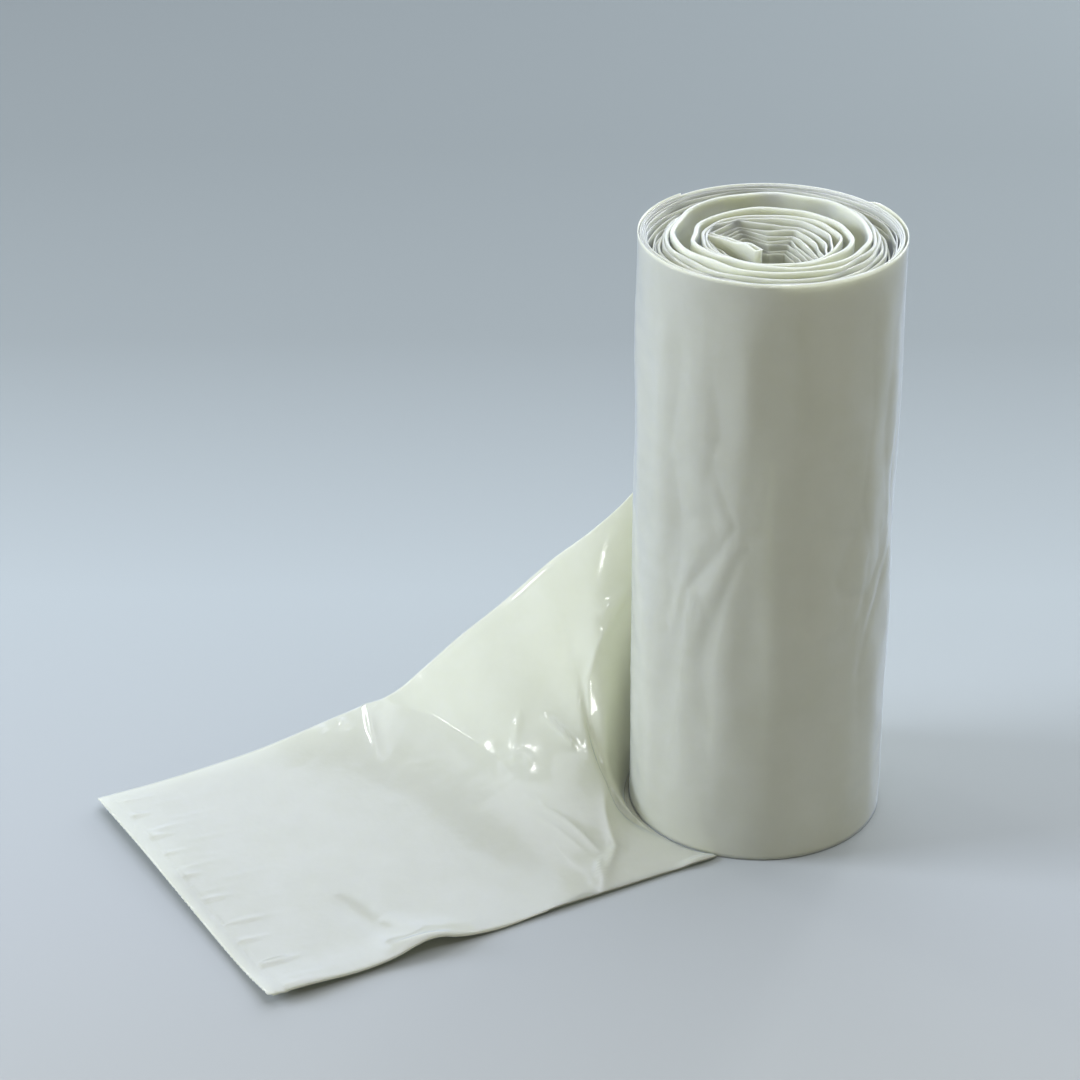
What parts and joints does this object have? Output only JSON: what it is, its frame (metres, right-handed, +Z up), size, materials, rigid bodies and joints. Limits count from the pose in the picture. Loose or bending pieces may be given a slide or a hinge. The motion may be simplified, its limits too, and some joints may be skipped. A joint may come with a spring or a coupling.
{
  "type": "bin bag roll",
  "caption": "Coreless roll of pale film bin bags standing on end, with its first bag pulled off and laid on the floor.",
  "frame": {"origin": "middle of the roll's foot, on the surface it stands on", "axes": "+Z up the roll's axis; the pulled bag runs along -X; its near long edge faces -Y"},
  "size_m": [0.198, 0.1197, 0.17],
  "materials": {
    "film": "glossy"
  },
  "bodies": {
    "root": {"wound_bags": "film", "leading_bag": "film"}
  },
  "joints": []
}
